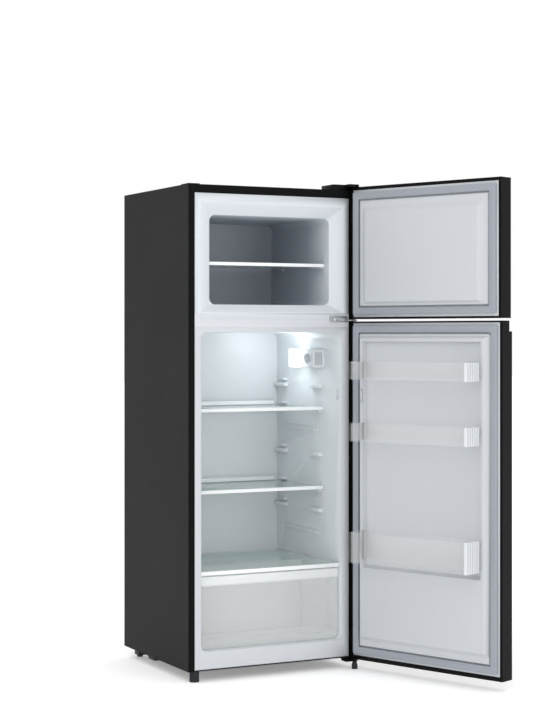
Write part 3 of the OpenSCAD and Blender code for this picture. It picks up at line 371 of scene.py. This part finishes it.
# ---- Feet and rollers ----
# Ribbed levelling feet at the front, turned by hand on their studs, and two rollers at the back.
# Hard bluish-black plastic, unevenly dulled by handling.
foot_blue = (0.012, 0.015, 0.021)
foot_black = surface("foot_plastic", foot_blue, 0.5, grain=350, bump=0.08, shade=0.25, specular=0.35)
for foot in ("left_levelling_foot", "right_levelling_foot"):
    softened(foot, foot, foot_black, width=0.0005)
for roller in ("left_rear_roller", "right_rear_roller"):
    softened(roller, roller, foot_black, width=0.0012)


# ---- Freezer door ----
# A folded skin in gloss black, capped top and bottom with black mouldings, filled with foam.
# Its inner face is a thermoformed white liner, and a grey magnetic gasket fits round its edge.
def door_facing(turn):
    """Tells whether a face of the liner of a door open by this angle is on the side that shows."""
    return lambda center, normal: -math.sin(turn) * normal.x + math.cos(turn) * normal.y > 0.02


freezer_door_turn = math.radians(110.8)
skin_black = (0.002, 0.002, 0.0021)
door_black = surface("door_gloss_black", skin_black, 0.3, grain=600, bump=0.015, shade=0.1, specular=0.08)
panel_white = (0.52, 0.54, 0.565)
door_white = surface("door_liner_white", panel_white, 0.42, grain=70, shade=0.02, specular=0.3)
seal_grey = (0.3, 0.32, 0.36)
gasket_grey = surface("gasket_rubber", seal_grey, 0.6, grain=300, bump=0.05, shade=0.05, specular=0.3)
bush_white = surface("bush_nylon", (0.7, 0.7, 0.66), 0.5)
finish("freezer_door_skin", door_black)
finish("freezer_door_foam", foam)
freezer_side = door_facing(freezer_door_turn)
door_corner = 0.0035
door_sheet = 0.0015
shell_of("freezer_door_liner", "freezer_door", freezer_side, door_white, door_corner, door_sheet)
softened("freezer_door_gasket", "freezer_door", gasket_grey, width=0.003, segments=3, join=False)
softened("freezer_door_caps", "freezer_door", cap_black, width=0.0012, join=False)
finish("freezer_door_bushes", bush_white)

# ---- Refrigerator door ----
# Built like the freezer's, but taller, with a grip hollowed into its top edge.
# Two moulded dykes on the liner hold the bins, and one of them carries the switch rib.
fridge_door_turn = math.radians(111.5)
finish("fridge_door_skin", door_black)
finish("fridge_door_foam", foam)
fridge_side = door_facing(fridge_door_turn)
shell_of("fridge_door_liner", "fridge_door", fridge_side, door_white, door_corner, door_sheet)
softened("fridge_door_gasket", "fridge_door", gasket_grey, width=0.003, segments=3, join=False)
softened("fridge_door_caps", "fridge_door", cap_black, width=0.0012, join=False)
finish("fridge_door_bushes", bush_white)


# ---- Door bins ----
# Clear polystyrene trays that hook over lugs on the dykes. A ribbed white end piece is clipped
# on at the handle side, and a clear one at the hinge side.
def clear(name, color, low, high, roughness=0.08, blend=0.35):
    """A see-through plastic or glass that gathers colour where it is seen edge on."""
    made = surface(name, color, roughness)
    tree = made.node_tree
    edge = tree.nodes.new("ShaderNodeLayerWeight")
    edge.inputs["Blend"].default_value = blend
    fade = tree.nodes.new("ShaderNodeMapRange")
    fade.name = "fade"
    fade.inputs["To Min"].default_value = low
    fade.inputs["To Max"].default_value = high
    tree.links.new(edge.outputs["Facing"], fade.inputs["Value"])
    tree.links.new(fade.outputs["Result"], tree.nodes["Principled BSDF"].inputs["Alpha"])
    return made


# Painted shade: the bevels of the clear bins and drawer get a greyer, more opaque tone that draws their
# outlines as shadowed lines.
painted_edge_shade = clear("painted_edge_shade", (0.62, 0.65, 0.69), low=0.55, high=0.95)
bin_clear = clear("bin_clear", (0.95, 0.97, 0.98), low=0.05, high=0.22)
end_clear = clear("end_clear", (0.95, 0.97, 0.98), low=0.03, high=0.1)
end_white = surface("bin_end_white", (0.66, 0.68, 0.71), 0.35, grain=90, bump=0.02, shade=0.02)
hinge = Vector((0.2625, -0.0185, 0))
door_way = Vector((math.cos(fridge_door_turn), math.sin(fridge_door_turn), 0))
for level in ("upper", "middle", "lower"):
    body = level + "_door_bin"
    softened(body, body, bin_clear, width=0.0009, edge=painted_edge_shade)
    ends = softened(level + "_bin_ends", body, end_white, width=0.0006)
    ends.data.materials.append(end_clear)
    for face in ends.data.polygons:
        across = door_way.dot(face.center - hinge)
        face.material_index = 1 if across + hinge.x > 0 else 0

# ---- Freezer shelf ----
# A pane of toughened glass with a white strip clipped along its front edge.
# The glass is faintly green, and more so where it is seen edge on.
pane_glass = clear("pane_glass", (0.62, 0.74, 0.72), low=0.1, high=0.6)
trim_white = surface("trim_white", (0.84, 0.86, 0.87), 0.35, grain=90, bump=0.02, shade=0.02)
softened("freezer_shelf_glass", "freezer_shelf", pane_glass, width=0.0005)
softened("freezer_shelf_trim", "freezer_shelf", trim_white, width=0.0008)

# ---- Refrigerator shelves ----
# Two panes that slide in on moulded lugs, each with a white strip at the front and a stop rail
# at the back.
for shelf in ("upper_shelf", "lower_shelf"):
    softened(shelf + "_glass", shelf, pane_glass, width=0.0005)
    softened(shelf + "_trims", shelf, trim_white, width=0.0008)

# ---- Crisper cover ----
# A frame of white plastic moulded round a clear pane, laid on ledges above the drawer.
# The pane has the same faint green as the shelves.
cover = softened("crisper_cover", "crisper_cover", trim_white, width=0.0008)
cover.data.materials.append(pane_glass)
pane_half = 0.2136
pane_front = 0.0325
pane_back = 0.42
for face in cover.data.polygons:
    in_pane = abs(face.center.x) < pane_half and pane_front < face.center.y < pane_back
    face.material_index = 1 if in_pane and abs(face.normal.z) > 0.9 else 0

# ---- Crisper drawer ----
# A tub of clear plastic with round bottom corners, which slides out below its cover.
# The band along its top is frosted, and the whole tub gives off a faint painted glow.
drawer_clear = clear("drawer_clear", (0.95, 0.97, 0.98), low=0.12, high=0.5)
# Painted light: a faint glow that brightens the clear drawer.
lit(drawer_clear, (0.95, 1, 1), 0.1)
frost_level = 0.268
tree = drawer_clear.node_tree
place = tree.nodes.new("ShaderNodeTexCoord")
split = tree.nodes.new("ShaderNodeSeparateXYZ")
tree.links.new(place.outputs["Object"], split.inputs["Vector"])
frost = tree.nodes.new("ShaderNodeMapRange")
frost.inputs["From Min"].default_value = frost_level
frost.inputs["From Max"].default_value = frost_level + 0.003
frost.inputs["To Max"].default_value = 0.4
tree.links.new(split.outputs["Z"], frost.inputs["Value"])
more = tree.nodes.new("ShaderNodeMath")
more.operation = "MAXIMUM"
tree.links.new(frost.outputs["Result"], more.inputs[0])
tree.links.new(tree.nodes["fade"].outputs["Result"], more.inputs[1])
tree.links.new(more.outputs["Value"], tree.nodes["Principled BSDF"].inputs["Alpha"])
softened("crisper_drawer", "crisper_drawer", drawer_clear, width=0.0011, edge=painted_edge_shade)
